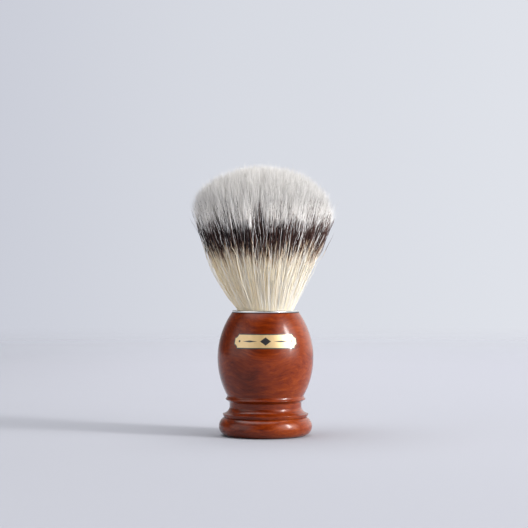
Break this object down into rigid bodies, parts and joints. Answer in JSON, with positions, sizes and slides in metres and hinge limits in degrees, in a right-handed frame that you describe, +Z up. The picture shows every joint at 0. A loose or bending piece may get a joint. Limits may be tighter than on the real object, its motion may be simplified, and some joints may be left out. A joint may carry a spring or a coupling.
{
  "type": "shaving brush",
  "caption": "Wet-shaving brush: a fan-shaped knot of banded fibres in a polished metal collar, on a turned wooden handle that stands on its own foot.",
  "frame": {"origin": "middle of the handle's flat underside, on the surface that the brush stands on", "axes": "+Z up the axis of the brush, from the foot to the crown of the knot; the badge on the barrel faces -Y; +X to the right when facing the badge"},
  "size_m": [0.0576, 0.0576, 0.11],
  "materials": {
    "varnished_wood": "gloss",
    "polished_metal": "polished",
    "fibres": "matte",
    "thread": "matte",
    "resin": "gloss",
    "adhesive": "satin",
    "black_print": "gloss",
    "gold_foil": "satin"
  },
  "bodies": {
    "root": {"handle": "varnished_wood", "collar": "polished_metal", "knot_fibres": "fibres", "binding_thread": "thread", "glue_plug": "resin", "socket_adhesive": "adhesive", "badge_backing": "black_print", "badge_foil": "gold_foil"}
  },
  "joints": []
}
